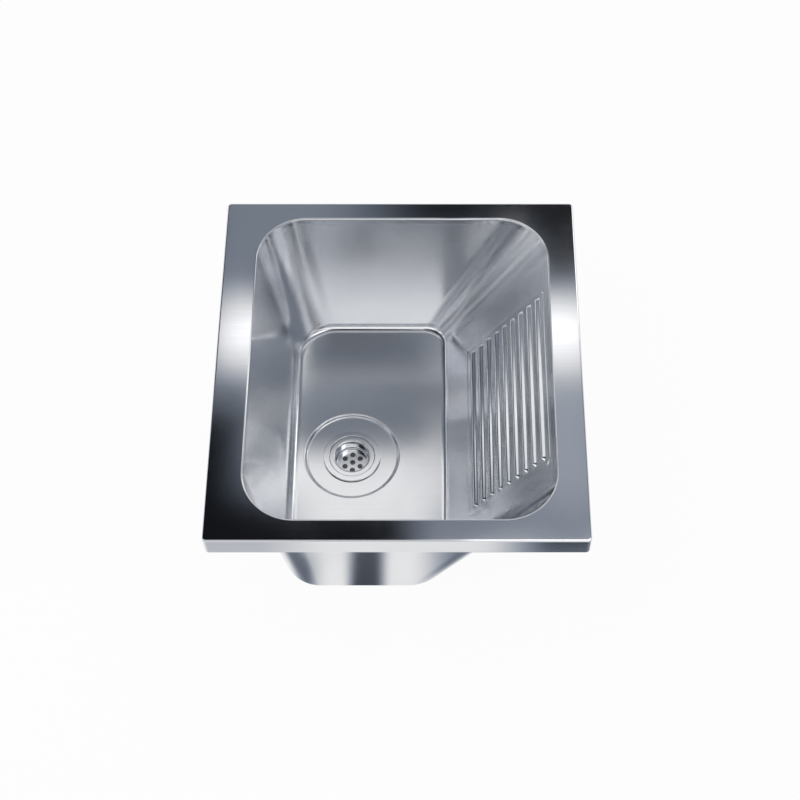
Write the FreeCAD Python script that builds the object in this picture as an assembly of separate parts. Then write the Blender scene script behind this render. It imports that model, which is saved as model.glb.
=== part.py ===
import FreeCAD, Part
import math
import os

# Laundry sink of pressed stainless steel with a washboard in its sloping right wall.
# Millimetres. X runs to the right, Y to the back, Z up.
# The origin is the middle of the seat plane under the folded lip.

# Deck: the top plate and its folded lip
deck_width = 500.0
deck_depth = 540.0
lip_height = 35.0
deck_sheet = 1.0
deck_corner_radius = 6.0
deck_edge_bend = 2.5
lip_bend = 2.0
return_width = 15.0
upturn_height = 7.0

# Opening in the deck, with its rolled rim
margin_left = 47.0
margin_right = 40.0
margin_front = 32.0
margin_back = 29.0
opening_radius = 70.0
rim_bend = 2.5
rim_drop = 9.0

# Bowl: each inset is how far that wall leans in between the deck top and the floor
bowl_depth = 230.0
bowl_sheet = 1.0
inset_left = 42.0
inset_right = 143.0
inset_front = 5.0
inset_back = 37.0
floor_radius_front_left = 50.0
floor_radius_front_right = 60.0
floor_radius_back_right = 35.0
floor_radius_back_left = 60.0
floor_bend = 12.0

# Round recess pressed into the floor for the waste
drain_from_left = 88.5
drain_from_front = 212.0
recess_diameter = 137.0
recess_depth = 4.0
recess_bend = 3.0
recess_border = 5.0

# Washboard panel, measured down the slope of the right wall
panel_length = 280.0
panel_from_front = 88.0
panel_top_gap = 16.0
panel_border = 15.0
panel_corner_radius = 12.0
rib_count = 9
rib_pitch = 20.5
rib_width = 14.0
rib_height = 4.0
rib_end_gap = 8.0

# Waste: drawn flange with a threaded tail that narrows to the outlet
flange_diameter = 85.0
flange_edge_round = 1.0
waste_sheet = 1.5
step_radius = 33.5
step_drop = 2.5
thread_diameter = 59.6
tail_length = 26.0
outlet_diameter = 47.8
outlet_length = 36.0
hole_clearance = 0.5

# Seals and nut of the waste
flange_gasket_thickness = 1.5
flange_gasket_width = 5.5
lower_gasket_thickness = 3.0
lower_gasket_diameter = 84.0
washer_thickness = 1.0
washer_diameter = 80.0
backnut_height = 12.0
backnut_flats = 78.0
backnut_chamfer = 2.0
seal_clearance = 0.3
thread_clearance = 0.1

# Strainer cup that lifts out of the waste
strainer_sheet = 1.0
strainer_cup_diameter = 51.0
strainer_cup_depth = 20.0
strainer_bend = 3.0
strainer_hole = 8.0
strainer_hole_ring = 13.0
strainer_ring_holes = 6
strainer_clearance = 0.4

# Damping pad under the floor
pad_width = 140.0
pad_length = 110.0
pad_thickness = 3.0
pad_corner_radius = 15.0
pad_gap = 12.0

# Hook clips that hold the return flange down on a cabinet side
cabinet_side = 18.0
clip_sheet = 1.2
clip_width = 30.0
clip_clearance = 0.15
clip_side_gap = 0.3
clip_hook_length = 6.0
clip_leg = 32.0
clip_hole = 5.0
clip_hole_drop = 18.0
clip_spacing = 320.0

# Levels that follow from the sizes above
deck_top = lip_height
seam_level = deck_top - rim_drop
floor_level = deck_top - bowl_depth
recess_level = floor_level - recess_depth
recess_under = recess_level - bowl_sheet
flange_under = recess_level + flange_gasket_thickness
flange_top = flange_under + waste_sheet
ledge_level = flange_top - step_drop
washer_top = recess_under - lower_gasket_thickness
nut_top = washer_top - washer_thickness
tail_end = recess_under - tail_length
outlet_end = tail_end - outlet_length

# Plan positions of the opening, the floor and the drain
rim_left = -deck_width / 2 + margin_left
rim_right = deck_width / 2 - margin_right
rim_front = -deck_depth / 2 + margin_front
rim_back = deck_depth / 2 - margin_back
drain_x = rim_left + inset_left + drain_from_left
drain_y = rim_front + inset_front + drain_from_front

# Radii that fit one piece to the next
tail_outer = thread_diameter / 2
tail_inner = tail_outer - waste_sheet
outlet_outer = outlet_diameter / 2
outlet_inner = outlet_outer - waste_sheet
waste_hole_radius = step_radius + waste_sheet + hole_clearance
bead_radius = (rib_height ** 2 + (rib_width / 2) ** 2) / (2 * rib_height)


def vec(x, y, z):
    return FreeCAD.Vector(x, y, z)


def rounded_wire(left, right, front, back, radii, z):
    """Rectangle with its own radius at front left, front right, back right and back left."""
    fl, fr, br, bl = radii
    k = 1 - math.sqrt(0.5)
    corners = [
        (vec(right - fr, front, z), vec(right - fr * k, front + fr * k, z), vec(right, front + fr, z)),
        (vec(right, back - br, z), vec(right - br * k, back - br * k, z), vec(right - br, back, z)),
        (vec(left + bl, back, z), vec(left + bl * k, back - bl * k, z), vec(left, back - bl, z)),
        (vec(left, front + fl, z), vec(left + fl * k, front + fl * k, z), vec(left + fl, front, z)),
    ]
    edges = []
    start = corners[-1][2]
    for first, middle, last in corners:
        edges.append(Part.makeLine(start, first))
        edges.append(Part.Arc(first, middle, last).toShape())
        start = last
    return Part.Wire(edges)


def rounded_block(width, depth, radius, bottom, top):
    """Upright block about the Z axis with rounded corners."""
    half_w = width / 2
    half_d = depth / 2
    wire = rounded_wire(-half_w, half_w, -half_d, half_d, (radius,) * 4, bottom)
    return Part.Face(wire).extrude(vec(0, 0, top - bottom))


def edges_at(shape, level, left, right, front, back):
    """Edges that lie in one level and inside a plan rectangle."""
    found = []
    for edge in shape.Edges:
        box = edge.BoundBox
        flat = abs(box.ZMin - level) < 0.001 and abs(box.ZMax - level) < 0.001
        inside_x = box.XMin > left and box.XMax < right
        inside_y = box.YMin > front and box.YMax < back
        if flat and inside_x and inside_y:
            found.append(edge)
    return found


def wall_section(level, grow):
    """Outline of the bowl at one level, moved outwards by a wall thickness."""
    share = (deck_top - level) / bowl_depth

    def lean(inset):
        return grow * math.hypot(inset, bowl_depth) / bowl_depth

    def radius(floor_radius):
        return opening_radius + (floor_radius - opening_radius) * share + grow

    radii = (
        radius(floor_radius_front_left),
        radius(floor_radius_front_right),
        radius(floor_radius_back_right),
        radius(floor_radius_back_left),
    )
    return rounded_wire(
        rim_left + inset_left * share - lean(inset_left),
        rim_right - inset_right * share + lean(inset_right),
        rim_front + inset_front * share - lean(inset_front),
        rim_back - inset_back * share + lean(inset_back),
        radii,
        level,
    )


def walls(top, bottom, grow):
    """Solid that fills the bowl's walls between two levels."""
    return Part.makeLoft([wall_section(top, grow), wall_section(bottom, grow)], True, True)


def basin(top, bottom, grow, bend):
    """Solid that fills the bowl, with its floor edge rounded."""
    solid = walls(top, bottom, grow)
    around = (-deck_width, deck_width, -deck_depth, deck_depth)
    return solid.makeFillet(bend, edges_at(solid, bottom, *around))


def turned(points, x, y):
    """Solid of revolution about an upright axis from radius and level pairs, or arcs of three."""
    edges = []
    for piece in points:
        knots = [vec(r, 0, z) for r, z in piece]
        if len(knots) == 2:
            edges.append(Part.makeLine(*knots))
        else:
            edges.append(Part.Arc(*knots).toShape())
    face = Part.Face(Part.Wire(edges))
    solid = face.revolve(vec(0, 0, 0), vec(0, 0, 1), 360)
    solid.translate(vec(x, y, 0))
    return solid


def ring(inner, outer, bottom, top):
    """Flat ring about the drain axis."""
    height = top - bottom
    disc = Part.makeCylinder(outer, height, vec(drain_x, drain_y, bottom))
    return disc.cut(Part.makeCylinder(inner, height, vec(drain_x, drain_y, bottom)))


def recess_spans():
    """Radii where the pressed step starts at the floor and ends in the recess."""
    across = math.sqrt((2 * recess_bend) ** 2 - (2 * recess_bend - recess_depth) ** 2)
    middle = recess_diameter / 2
    return middle + across / 2, middle - across / 2


def recess_dish():
    """Recess with its rounded step, from the flat floor in to the waste hole."""
    outer, inner = recess_spans()
    border = outer + recess_border
    t = bowl_sheet
    high = (outer, floor_level - recess_bend)
    low = (inner, recess_level + recess_bend)
    turn = math.atan2(low[1] - high[1], low[0] - high[0])

    def on_high(radius, angle):
        return (high[0] + radius * math.cos(angle), high[1] + radius * math.sin(angle))

    def on_low(radius, angle):
        return (low[0] + radius * math.cos(angle), low[1] + radius * math.sin(angle))

    if turn < 0:
        turn += 2 * math.pi
    half = (math.pi / 2 + turn) / 2
    back_turn = turn - math.pi
    low_half = (back_turn - math.pi / 2) / 2
    top_r = recess_bend
    high_under = recess_bend - t
    low_under = recess_bend + t
    profile = [
        [(border, floor_level), on_high(top_r, math.pi / 2)],
        [on_high(top_r, math.pi / 2), on_high(top_r, half), on_high(top_r, turn)],
        [on_high(top_r, turn), on_low(top_r, low_half), on_low(top_r, -math.pi / 2)],
        [on_low(top_r, -math.pi / 2), (waste_hole_radius, recess_level)],
        [(waste_hole_radius, recess_level), (waste_hole_radius, recess_under)],
        [(waste_hole_radius, recess_under), on_low(low_under, -math.pi / 2)],
        [on_low(low_under, -math.pi / 2), on_low(low_under, low_half), on_low(low_under, back_turn)],
        [on_low(low_under, back_turn), on_high(high_under, half), on_high(high_under, math.pi / 2)],
        [on_high(high_under, math.pi / 2), (border, floor_level - t)],
        [(border, floor_level - t), (border, floor_level)],
    ]
    return turned(profile, drain_x, drain_y), border


def make_deck():
    """Top plate, folded lip, return flange with an upturned edge, and the rolled rim."""
    block = rounded_block(deck_width, deck_depth, deck_corner_radius, 0, deck_top)
    around = (-deck_width, deck_width, -deck_depth, deck_depth)
    block = block.makeFillet(deck_edge_bend, edges_at(block, deck_top, *around))
    block = block.makeFillet(lip_bend, edges_at(block, 0, *around))
    t = deck_sheet
    under = deck_top - t
    hollow = rounded_block(deck_width - 2 * t, deck_depth - 2 * t, deck_corner_radius - t, -t, under)
    hollow = hollow.makeFillet(deck_edge_bend - t, edges_at(hollow, under, *around))
    tray = block.cut(hollow)

    def frame(start, stop, top):
        outside = Part.makeBox(
            deck_width - 2 * start,
            deck_depth - 2 * start,
            top,
            vec(start - deck_width / 2, start - deck_depth / 2, 0),
        )
        inside = Part.makeBox(
            deck_width - 2 * stop,
            deck_depth - 2 * stop,
            top,
            vec(stop - deck_width / 2, stop - deck_depth / 2, 0),
        )
        return outside.cut(inside)

    seat = frame(0, return_width, t).common(block)
    upturn = frame(return_width - t, return_width, upturn_height)
    deck = tray.fuse([seat, upturn])

    collar = walls(deck_top - t / 2, seam_level, bowl_sheet)
    deck = deck.fuse(collar).cut(walls(deck_top + t, seam_level - t, 0)).removeSplitter()
    near = 2 * t
    opening = (rim_left - near, rim_right + near, rim_front - near, rim_back + near)
    deck = deck.makeFillet(rim_bend, edges_at(deck, deck_top, *opening))
    deck = deck.makeFillet(rim_bend - t, edges_at(deck, under, *opening))
    return deck


def panel_place():
    """Placement whose X runs to the back, Y down the slope and Z out of the wall into the bowl."""
    slope = math.hypot(inset_right, bowl_depth)
    down = vec(-inset_right / slope, 0, -bowl_depth / slope)
    back = vec(0, 1, 0)
    normal = back.cross(down)
    start = vec(rim_right, rim_front + panel_from_front, deck_top) + down * panel_top_gap
    return FreeCAD.Placement(start, FreeCAD.Rotation(back, down, normal, "XYZ"))


def panel_plate(bottom, top):
    """Outline of the washboard panel between two heights over the wall's inner face."""
    height = (rib_count - 1) * rib_pitch + 2 * panel_border
    wire = rounded_wire(0, panel_length, 0, height, (panel_corner_radius,) * 4, bottom)
    return Part.Face(wire).extrude(vec(0, 0, top - bottom))


def rib_bead(row, radius):
    """Round-ended bar whose top stands out of the panel as one rib."""
    depth = rib_height - bead_radius
    y = panel_border + row * rib_pitch
    start = rib_end_gap + rib_width / 2
    length = panel_length - 2 * start
    bar = Part.makeCylinder(radius, length, vec(start, y, depth), vec(1, 0, 0))
    ends = [Part.makeSphere(radius, vec(x, y, depth)) for x in (start, start + length)]
    return bar.fuse(ends).removeSplitter()


def make_washboard():
    """Pressed panel with round ribs that are hollow from behind."""
    t = bowl_sheet
    panel = panel_plate(-t, 0)
    height = rib_count * rib_pitch + 2 * panel_border
    above = Part.makeBox(panel_length, height, rib_height + t, vec(0, 0, -t / 2))
    for row in range(rib_count):
        panel = panel.fuse(rib_bead(row, bead_radius).common(above))
    for row in range(rib_count):
        panel = panel.cut(rib_bead(row, bead_radius - t))
    panel = panel.removeSplitter()
    panel.Placement = panel_place()
    return panel


def make_bowl():
    """Drawn bowl with the drain recess, and a window for the washboard."""
    t = bowl_sheet
    outside = basin(seam_level, floor_level - t, t, floor_bend + t)
    inside = basin(seam_level + t, floor_level, 0, floor_bend)
    bowl = outside.cut(inside)
    dish, border = recess_dish()
    bowl = bowl.cut(Part.makeCylinder(border, 4 * t, vec(drain_x, drain_y, floor_level - 2 * t)))
    bowl = bowl.fuse(dish).removeSplitter()
    window = panel_plate(-2 * t, t)
    window.Placement = panel_place()
    return bowl.cut(window)


def make_waste_body():
    """Drawn flange with a ledge for the strainer, a threaded tail and a narrower outlet."""
    r = flange_diameter / 2
    e = flange_edge_round
    k = e * (1 - math.sqrt(0.5))
    ledge_under = ledge_level - waste_sheet
    step_outer = step_radius + waste_sheet
    shoulder = tail_end + waste_sheet
    profile = [
        [(r, flange_under), (r, flange_top - e)],
        [(r, flange_top - e), (r - k, flange_top - k), (r - e, flange_top)],
        [(r - e, flange_top), (step_radius, flange_top)],
        [(step_radius, flange_top), (step_radius, ledge_level)],
        [(step_radius, ledge_level), (tail_inner, ledge_level)],
        [(tail_inner, ledge_level), (tail_inner, shoulder)],
        [(tail_inner, shoulder), (outlet_inner, shoulder)],
        [(outlet_inner, shoulder), (outlet_inner, outlet_end)],
        [(outlet_inner, outlet_end), (outlet_outer, outlet_end)],
        [(outlet_outer, outlet_end), (outlet_outer, tail_end)],
        [(outlet_outer, tail_end), (tail_outer, tail_end)],
        [(tail_outer, tail_end), (tail_outer, ledge_under)],
        [(tail_outer, ledge_under), (step_outer, ledge_under)],
        [(step_outer, ledge_under), (step_outer, flange_under)],
        [(step_outer, flange_under), (r, flange_under)],
    ]
    return turned(profile, drain_x, drain_y)


def make_strainer_cup():
    """Cup with a flat rim on the ledge and a ring of holes in its floor."""
    t = strainer_sheet
    rim = step_radius - strainer_clearance
    outer = strainer_cup_diameter / 2
    inner = outer - t
    top = ledge_level + t
    base = top - strainer_cup_depth
    bend = strainer_bend
    k = 1 - math.sqrt(0.5)
    small = bend - t
    neck = ledge_level - small
    profile = [
        [(rim, ledge_level), (rim, top)],
        [(rim, top), (inner + bend, top)],
        [(inner + bend, top), (inner + bend * k, top - bend * k), (inner, top - bend)],
        [(inner, top - bend), (inner, base + small)],
        [(inner, base + small), (inner - small * k, base + small * k), (inner - small, base)],
        [(inner - small, base), (0, base)],
        [(0, base), (0, base - t)],
        [(0, base - t), (outer - bend, base - t)],
        [(outer - bend, base - t), (outer - bend * k, base - t + bend * k), (outer, base - t + bend)],
        [(outer, base - t + bend), (outer, neck)],
        [(outer, neck), (outer + small * k, ledge_level - small * k), (outer + small, ledge_level)],
        [(outer + small, ledge_level), (rim, ledge_level)],
    ]
    cup = turned(profile, drain_x, drain_y)
    spots = [(0.0, 0.0)]
    for i in range(strainer_ring_holes):
        angle = math.pi / 2 + 2 * math.pi * i / strainer_ring_holes
        spots.append((strainer_hole_ring * math.cos(angle), strainer_hole_ring * math.sin(angle)))
    for x, y in spots:
        place = vec(drain_x + x, drain_y + y, base - 2 * t)
        cup = cup.cut(Part.makeCylinder(strainer_hole / 2, 3 * t, place))
    return cup


def make_flange_gasket():
    """Soft ring between the waste flange and the recess."""
    return ring(waste_hole_radius, waste_hole_radius + flange_gasket_width, recess_level, flange_under)


def make_lower_gasket():
    """Soft ring that closes the waste hole from below."""
    return ring(tail_outer + seal_clearance, lower_gasket_diameter / 2, washer_top, recess_under)


def make_friction_washer():
    """Slip ring that lets the nut turn without dragging the gasket."""
    return ring(tail_outer + seal_clearance, washer_diameter / 2, nut_top, washer_top)


def make_backnut():
    """Six-sided nut with turned corners."""
    across_corners = backnut_flats / math.cos(math.pi / 6)
    points = []
    for i in range(7):
        angle = math.pi * i / 3
        x = drain_x + across_corners / 2 * math.cos(angle)
        y = drain_y + across_corners / 2 * math.sin(angle)
        points.append(vec(x, y, nut_top - backnut_height))
    hexagon = Part.Face(Part.makePolygon(points)).extrude(vec(0, 0, backnut_height))
    low = nut_top - backnut_height
    half = across_corners / 2
    rim = half - backnut_chamfer
    edge = backnut_chamfer / 2
    profile = [
        [(0, low), (rim, low)],
        [(rim, low), (half, low + edge)],
        [(half, low + edge), (half, nut_top - edge)],
        [(half, nut_top - edge), (rim, nut_top)],
        [(rim, nut_top), (0, nut_top)],
        [(0, nut_top), (0, low)],
    ]
    nut = hexagon.common(turned(profile, drain_x, drain_y))
    bore = Part.makeCylinder(tail_outer + thread_clearance, backnut_height, vec(drain_x, drain_y, low))
    return nut.cut(bore)


def make_sound_pad():
    """Damping pad on the underside of the floor, behind the recess."""
    outer, inner = recess_spans()
    front = drain_y + outer + recess_border + pad_gap
    top = floor_level - bowl_sheet
    sides = (drain_x - pad_width / 2, drain_x + pad_width / 2)
    wire = rounded_wire(*sides, front, front + pad_length, (pad_corner_radius,) * 4, top)
    return Part.Face(wire).extrude(vec(0, 0, -pad_thickness))


def make_clip(side, y):
    """Bent strip hooked over the upturned edge, with a screw hole in its leg."""
    t = clip_sheet
    hook = return_width - deck_sheet - clip_clearance
    inner = return_width + clip_clearance
    leg = cabinet_side + clip_side_gap
    top = upturn_height + t
    shelf = clip_side_gap
    outline = [
        (hook - t, top - clip_hook_length),
        (hook - t, top),
        (inner + t, top),
        (inner + t, shelf + t),
        (leg + t, shelf + t),
        (leg + t, -clip_leg),
        (leg, -clip_leg),
        (leg, shelf),
        (inner, shelf),
        (inner, upturn_height),
        (hook, upturn_height),
        (hook, top - clip_hook_length),
    ]
    outline.append(outline[0])
    edge = deck_width / 2
    points = [vec(side * (edge - inward), y - clip_width / 2, z) for inward, z in outline]
    strip = Part.Face(Part.makePolygon(points)).extrude(vec(0, clip_width, 0))
    inside = side * (edge - leg - 2 * t)
    hole = Part.makeCylinder(clip_hole / 2, 3 * t, vec(inside, y, -clip_hole_drop), vec(side, 0, 0))
    return strip.cut(hole)


def main():
    os.makedirs("parts", exist_ok=True)
    pieces = {
        "deck": make_deck(),
        "bowl": make_bowl(),
        "washboard": make_washboard(),
        "waste_body": make_waste_body(),
        "strainer_cup": make_strainer_cup(),
        "flange_gasket": make_flange_gasket(),
        "lower_gasket": make_lower_gasket(),
        "friction_washer": make_friction_washer(),
        "backnut": make_backnut(),
        "sound_pad": make_sound_pad(),
        "clip_left_front": make_clip(-1, -clip_spacing / 2),
        "clip_left_back": make_clip(-1, clip_spacing / 2),
        "clip_right_front": make_clip(1, -clip_spacing / 2),
        "clip_right_back": make_clip(1, clip_spacing / 2),
    }
    for name, shape in pieces.items():
        shape.exportStep("parts/" + name + ".step")
        print(name, shape.isValid(), len(shape.Solids), round(shape.Volume, 1))


main()
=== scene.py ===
import math

import bmesh
import bpy
from bpy.props import FloatProperty, FloatVectorProperty, IntProperty, PointerProperty
from mathutils import Matrix, Vector


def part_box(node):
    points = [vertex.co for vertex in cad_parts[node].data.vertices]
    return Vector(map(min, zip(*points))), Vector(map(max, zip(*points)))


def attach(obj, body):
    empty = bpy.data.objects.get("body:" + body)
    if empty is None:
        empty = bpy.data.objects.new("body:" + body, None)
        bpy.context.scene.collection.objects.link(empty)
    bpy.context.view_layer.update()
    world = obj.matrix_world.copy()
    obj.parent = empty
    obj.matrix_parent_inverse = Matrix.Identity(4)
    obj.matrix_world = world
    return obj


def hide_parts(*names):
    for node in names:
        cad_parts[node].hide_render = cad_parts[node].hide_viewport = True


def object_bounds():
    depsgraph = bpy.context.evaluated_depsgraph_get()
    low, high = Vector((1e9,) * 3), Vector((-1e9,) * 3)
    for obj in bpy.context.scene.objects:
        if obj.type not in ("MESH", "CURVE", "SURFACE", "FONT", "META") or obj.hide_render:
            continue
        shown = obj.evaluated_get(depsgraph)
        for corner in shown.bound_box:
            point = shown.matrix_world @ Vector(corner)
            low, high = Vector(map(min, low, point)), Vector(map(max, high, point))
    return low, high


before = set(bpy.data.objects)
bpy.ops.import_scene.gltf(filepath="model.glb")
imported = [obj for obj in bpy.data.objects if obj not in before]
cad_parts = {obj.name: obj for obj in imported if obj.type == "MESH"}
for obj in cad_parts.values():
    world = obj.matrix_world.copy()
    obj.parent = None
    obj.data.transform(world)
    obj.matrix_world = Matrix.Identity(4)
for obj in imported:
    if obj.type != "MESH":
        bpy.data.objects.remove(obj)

cad_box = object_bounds()

bl_info = {
    "name": "Laundry sink",
    "version": (1, 0, 0),
    "blender": (4, 5, 0),
    "location": "3D View > Sidebar > Sink",
    "description": "Builds a pressed steel laundry sink with a washboard, its waste and its clips",
    "category": "Object",
}


def length(name, millimetres, description):
    """Property for a length, with its default given in millimetres."""
    return FloatProperty(
        name=name, description=description, default=millimetres / 1000, unit="LENGTH", precision=5)


def colour(name, value, description):
    """Property for a surface colour."""
    return FloatVectorProperty(
        name=name, description=description, default=value, size=3, min=0.0, max=1.0, subtype="COLOR")


class SinkDeckSizes(bpy.types.PropertyGroup):
    """Sizes of the top plate, its folded lip and the opening"""

    width: length("Width", 500, "Outside width of the deck, left to right")
    depth: length("Depth", 540, "Outside depth of the deck, front to back")
    top: length("Top", 35, "Level of the deck above the seat, which is the lip's height")
    sheet: length("Sheet", 1, "Thickness of the deck's steel")
    corner: length("Corner radius", 6, "Radius of the deck's four upright corners")
    edge_bend: length("Edge bend", 2.5, "Radius of the bend from the deck into the lip")
    lip_bend: length("Lip bend", 2, "Radius of the bend at the foot of the lip")
    return_width: length("Return", 15, "Width of the return flange under the lip")
    upturn: length("Upturn", 7, "Height of the upturned edge of the return flange")
    left: length("Left margin", 47, "Deck width left of the opening")
    right: length("Right margin", 40, "Deck width right of the opening")
    front: length("Front margin", 32, "Deck width in front of the opening")
    back: length("Back margin", 29, "Deck width behind the opening")
    opening: length("Opening radius", 70, "Corner radius of the opening")
    rim_bend: length("Rim bend", 2.5, "Radius of the roll from the deck into the bowl")
    rim_drop: length("Rim drop", 9, "How far the rolled rim goes down to the bowl's seam")


class SinkBowlSizes(bpy.types.PropertyGroup):
    """Sizes of the drawn bowl and of the recess round its drain"""

    depth: length("Depth", 230, "Depth of the bowl below the deck")
    sheet: length("Sheet", 1, "Thickness of the bowl's steel")
    left: length("Left lean", 42, "How far the left wall leans in over the bowl's depth")
    right: length("Right lean", 143, "How far the washboard wall leans in over the bowl's depth")
    front: length("Front lean", 5, "How far the front wall leans in over the bowl's depth")
    back: length("Back lean", 37, "How far the back wall leans in over the bowl's depth")
    front_left: length("Front left radius", 50, "Corner radius of the floor at the front left")
    front_right: length("Front right radius", 60, "Corner radius of the floor at the front right")
    back_right: length("Back right radius", 35, "Corner radius of the floor at the back right")
    back_left: length("Back left radius", 60, "Corner radius of the floor at the back left")
    floor_bend: length("Floor bend", 12, "Radius of the bend between the walls and the floor")
    drain_left: length("Drain from left", 88.5, "Distance of the drain from the floor's left edge")
    drain_front: length("Drain from front", 212, "Distance of the drain from the floor's front edge")
    recess: length("Recess diameter", 137, "Diameter of the round recess at the middle of its step")
    recess_depth: length("Recess depth", 4, "Depth of the round recess")
    recess_bend: length("Recess bend", 3, "Radius of both bends of the recess's step")
    hole: length("Waste hole radius", 35.5, "Radius of the hole for the waste")


class SinkBoardSizes(bpy.types.PropertyGroup):
    """Sizes of the washboard panel, measured down the slope of its wall"""

    length: length("Length", 280, "Length of the panel, front to back")
    from_front: length("From front", 88, "Distance of the panel from the front of the opening")
    top_gap: length("Top gap", 16, "Distance of the panel below the deck, down the slope")
    border: length("Border", 15, "Distance from the panel's edge to the first rib's middle")
    corner: length("Corner radius", 12, "Corner radius of the panel")
    ribs: IntProperty(name="Ribs", description="Number of ribs", default=9, min=1)
    pitch: length("Pitch", 20.5, "Distance from one rib to the next")
    rib_width: length("Rib width", 14, "Width of one rib")
    rib_height: length("Rib height", 4, "Height of one rib")
    end_gap: length("End gap", 8, "Plain strip between the ribs' ends and the panel's edge")


class SinkWasteSizes(bpy.types.PropertyGroup):
    """Sizes of the waste, its strainer, its seals and its nut"""

    flange: length("Flange radius", 42.5, "Radius of the waste's flange")
    flange_top: length("Flange top", -196, "Level of the flange's top face")
    sheet: length("Sheet", 1.5, "Wall thickness of the waste")
    step: length("Step radius", 33.5, "Radius of the step that holds the strainer")
    step_drop: length("Step drop", 2.5, "Drop from the flange to the strainer's ledge")
    tail: length("Tail radius", 29.8, "Outside radius of the threaded tail")
    tail_end: length("Tail end", -226, "Level where the tail narrows to the outlet")
    outlet: length("Outlet radius", 23.9, "Outside radius of the outlet")
    outlet_end: length("Outlet end", -262, "Level of the outlet's lower end")
    pitch: length("Thread pitch", 2.309, "Distance from one thread crest to the next")
    thread: length("Thread depth", 0.7, "Depth of the threads")
    cup_rim: length("Cup rim radius", 33.1, "Radius of the strainer cup's flat rim")
    cup: length("Cup radius", 25.5, "Outside radius of the strainer cup")
    cup_depth: length("Cup depth", 20, "Depth of the strainer cup")
    cup_sheet: length("Cup sheet", 1, "Thickness of the strainer cup's steel")
    hole: length("Strainer hole", 4, "Radius of the strainer's holes")
    hole_ring: length("Hole ring", 13, "Radius of the ring of strainer holes")
    nut_flats: length("Nut flats", 78, "Distance across the nut's flats")


class SinkColours(bpy.types.PropertyGroup):
    """Colours of the finishes"""

    steel: colour("Steel", (0.72, 0.735, 0.76), "Polished stainless steel")
    steel_dark: colour("Steel in its grain", (0.64, 0.655, 0.69), "Stainless steel along its polishing lines")
    # Bowl steel and its grain are painted lighter than the deck's steel: painted light that lifts the shade
    # inside the bowl
    bowl: colour("Bowl steel", (0.75, 0.765, 0.79), "Polished stainless steel of the bowl and the washboard")
    bowl_dark: colour("Bowl steel in its grain", (0.68, 0.695, 0.725), "Bowl steel along its polishing lines")
    zinc: colour("Zinc", (0.58, 0.60, 0.63), "Zinc plating of the clips")
    brass: colour("Brass", (0.72, 0.55, 0.27), "Turned brass of the nut")
    brass_dark: colour("Tarnish", (0.42, 0.29, 0.13), "Tarnished brass")
    rubber: colour("Rubber", (0.022, 0.022, 0.024), "Seals")
    pad: colour("Damping pad", (0.045, 0.045, 0.048), "Damping pad under the floor")
    plastic: colour("Washer plastic", (0.80, 0.80, 0.76), "Slip washer")


class SinkStudio(bpy.types.PropertyGroup):
    """Camera and studio light"""

    camera: FloatVectorProperty(
        name="Camera", description="Place of the camera",
        default=(0.0386, -1.13607, 1.86977), subtype="TRANSLATION")
    pitch: FloatProperty(
        name="Camera pitch", description="Turn of the camera up from looking straight down",
        default=math.radians(30.37), subtype="ANGLE")
    lens: FloatProperty(
        name="Lens", description="Focal length in millimetres on a 36 mm sensor", default=71.24)
    shift: FloatProperty(
        name="Lens shift", description="Sideways shift of the picture, in widths", default=-0.0338)
    ambient: FloatProperty(
        name="Ambient", description="Brightness of the studio for matt surfaces",
        default=0.75, min=0.0, subtype="FACTOR")
    lamp: FloatProperty(
        name="Lamp", description="Power of the soft lamp in watts", default=9.0, subtype="POWER")


# Signs of the four corners, from the front left round to the back left
CORNERS = ((-1, -1), (1, -1), (1, 1), (-1, 1))
# Distance at which doubled vertices are merged
MERGE = 0.000002
# Largest difference between vertices that lie on one level
SAME_LEVEL = 0.000001
# Width of the narrow strips that keep a bend's shading off the flat next to it
SUPPORT = 0.0008


def edit_mesh():
    """Mesh that is open in edit mode."""
    return bmesh.from_edit_mesh(bpy.context.edit_object.data)


def choose(numbers):
    """Leave only the vertices with these numbers selected."""
    bpy.ops.mesh.select_all(action="DESELECT")
    mesh = edit_mesh()
    mesh.verts.ensure_lookup_table()
    for number in numbers:
        mesh.verts[number].select = True
    mesh.select_flush_mode()


def choose_where(test):
    """Leave only the vertices whose place passes a test selected."""
    mesh = edit_mesh()
    choose([number for number, vert in enumerate(mesh.verts) if test(vert.co)])


def choose_edges(test):
    """Leave only the edges whose two ends pass a test selected."""
    bpy.ops.mesh.select_mode(type="EDGE")
    bpy.ops.mesh.select_all(action="DESELECT")
    mesh = edit_mesh()
    for edge in mesh.edges:
        if test(edge.verts[0].co, edge.verts[1].co):
            edge.select = True
    mesh.select_flush_mode()


def choose_faces(test):
    """Leave only the faces whose middle passes a test selected, and count them."""
    bpy.ops.mesh.select_mode(type="FACE")
    bpy.ops.mesh.select_all(action="DESELECT")
    mesh = edit_mesh()
    count = 0
    for face in mesh.faces:
        if test(face.calc_center_median()):
            face.select = True
            count += 1
    mesh.select_flush_mode()
    return count


def pick(piece):
    """Leave only one object selected and make it active."""
    bpy.ops.object.select_all(action="DESELECT")
    piece.select_set(True)
    bpy.context.view_layer.objects.active = piece


def copy_of(piece):
    """Copy of an object with its own mesh, left selected and active."""
    pick(piece)
    bpy.ops.object.duplicate()
    return bpy.context.active_object


def begin(name, add, **options):
    """Add a primitive by itself, name it and open it in edit mode."""
    bpy.ops.object.select_all(action="DESELECT")
    add(location=(0, 0, 0), **options)
    piece = bpy.context.active_object
    piece.name = name
    piece.data.name = name
    bpy.ops.object.mode_set(mode="EDIT")
    bpy.ops.mesh.select_mode(type="VERT")
    bpy.ops.mesh.select_all(action="SELECT")
    return piece


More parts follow.
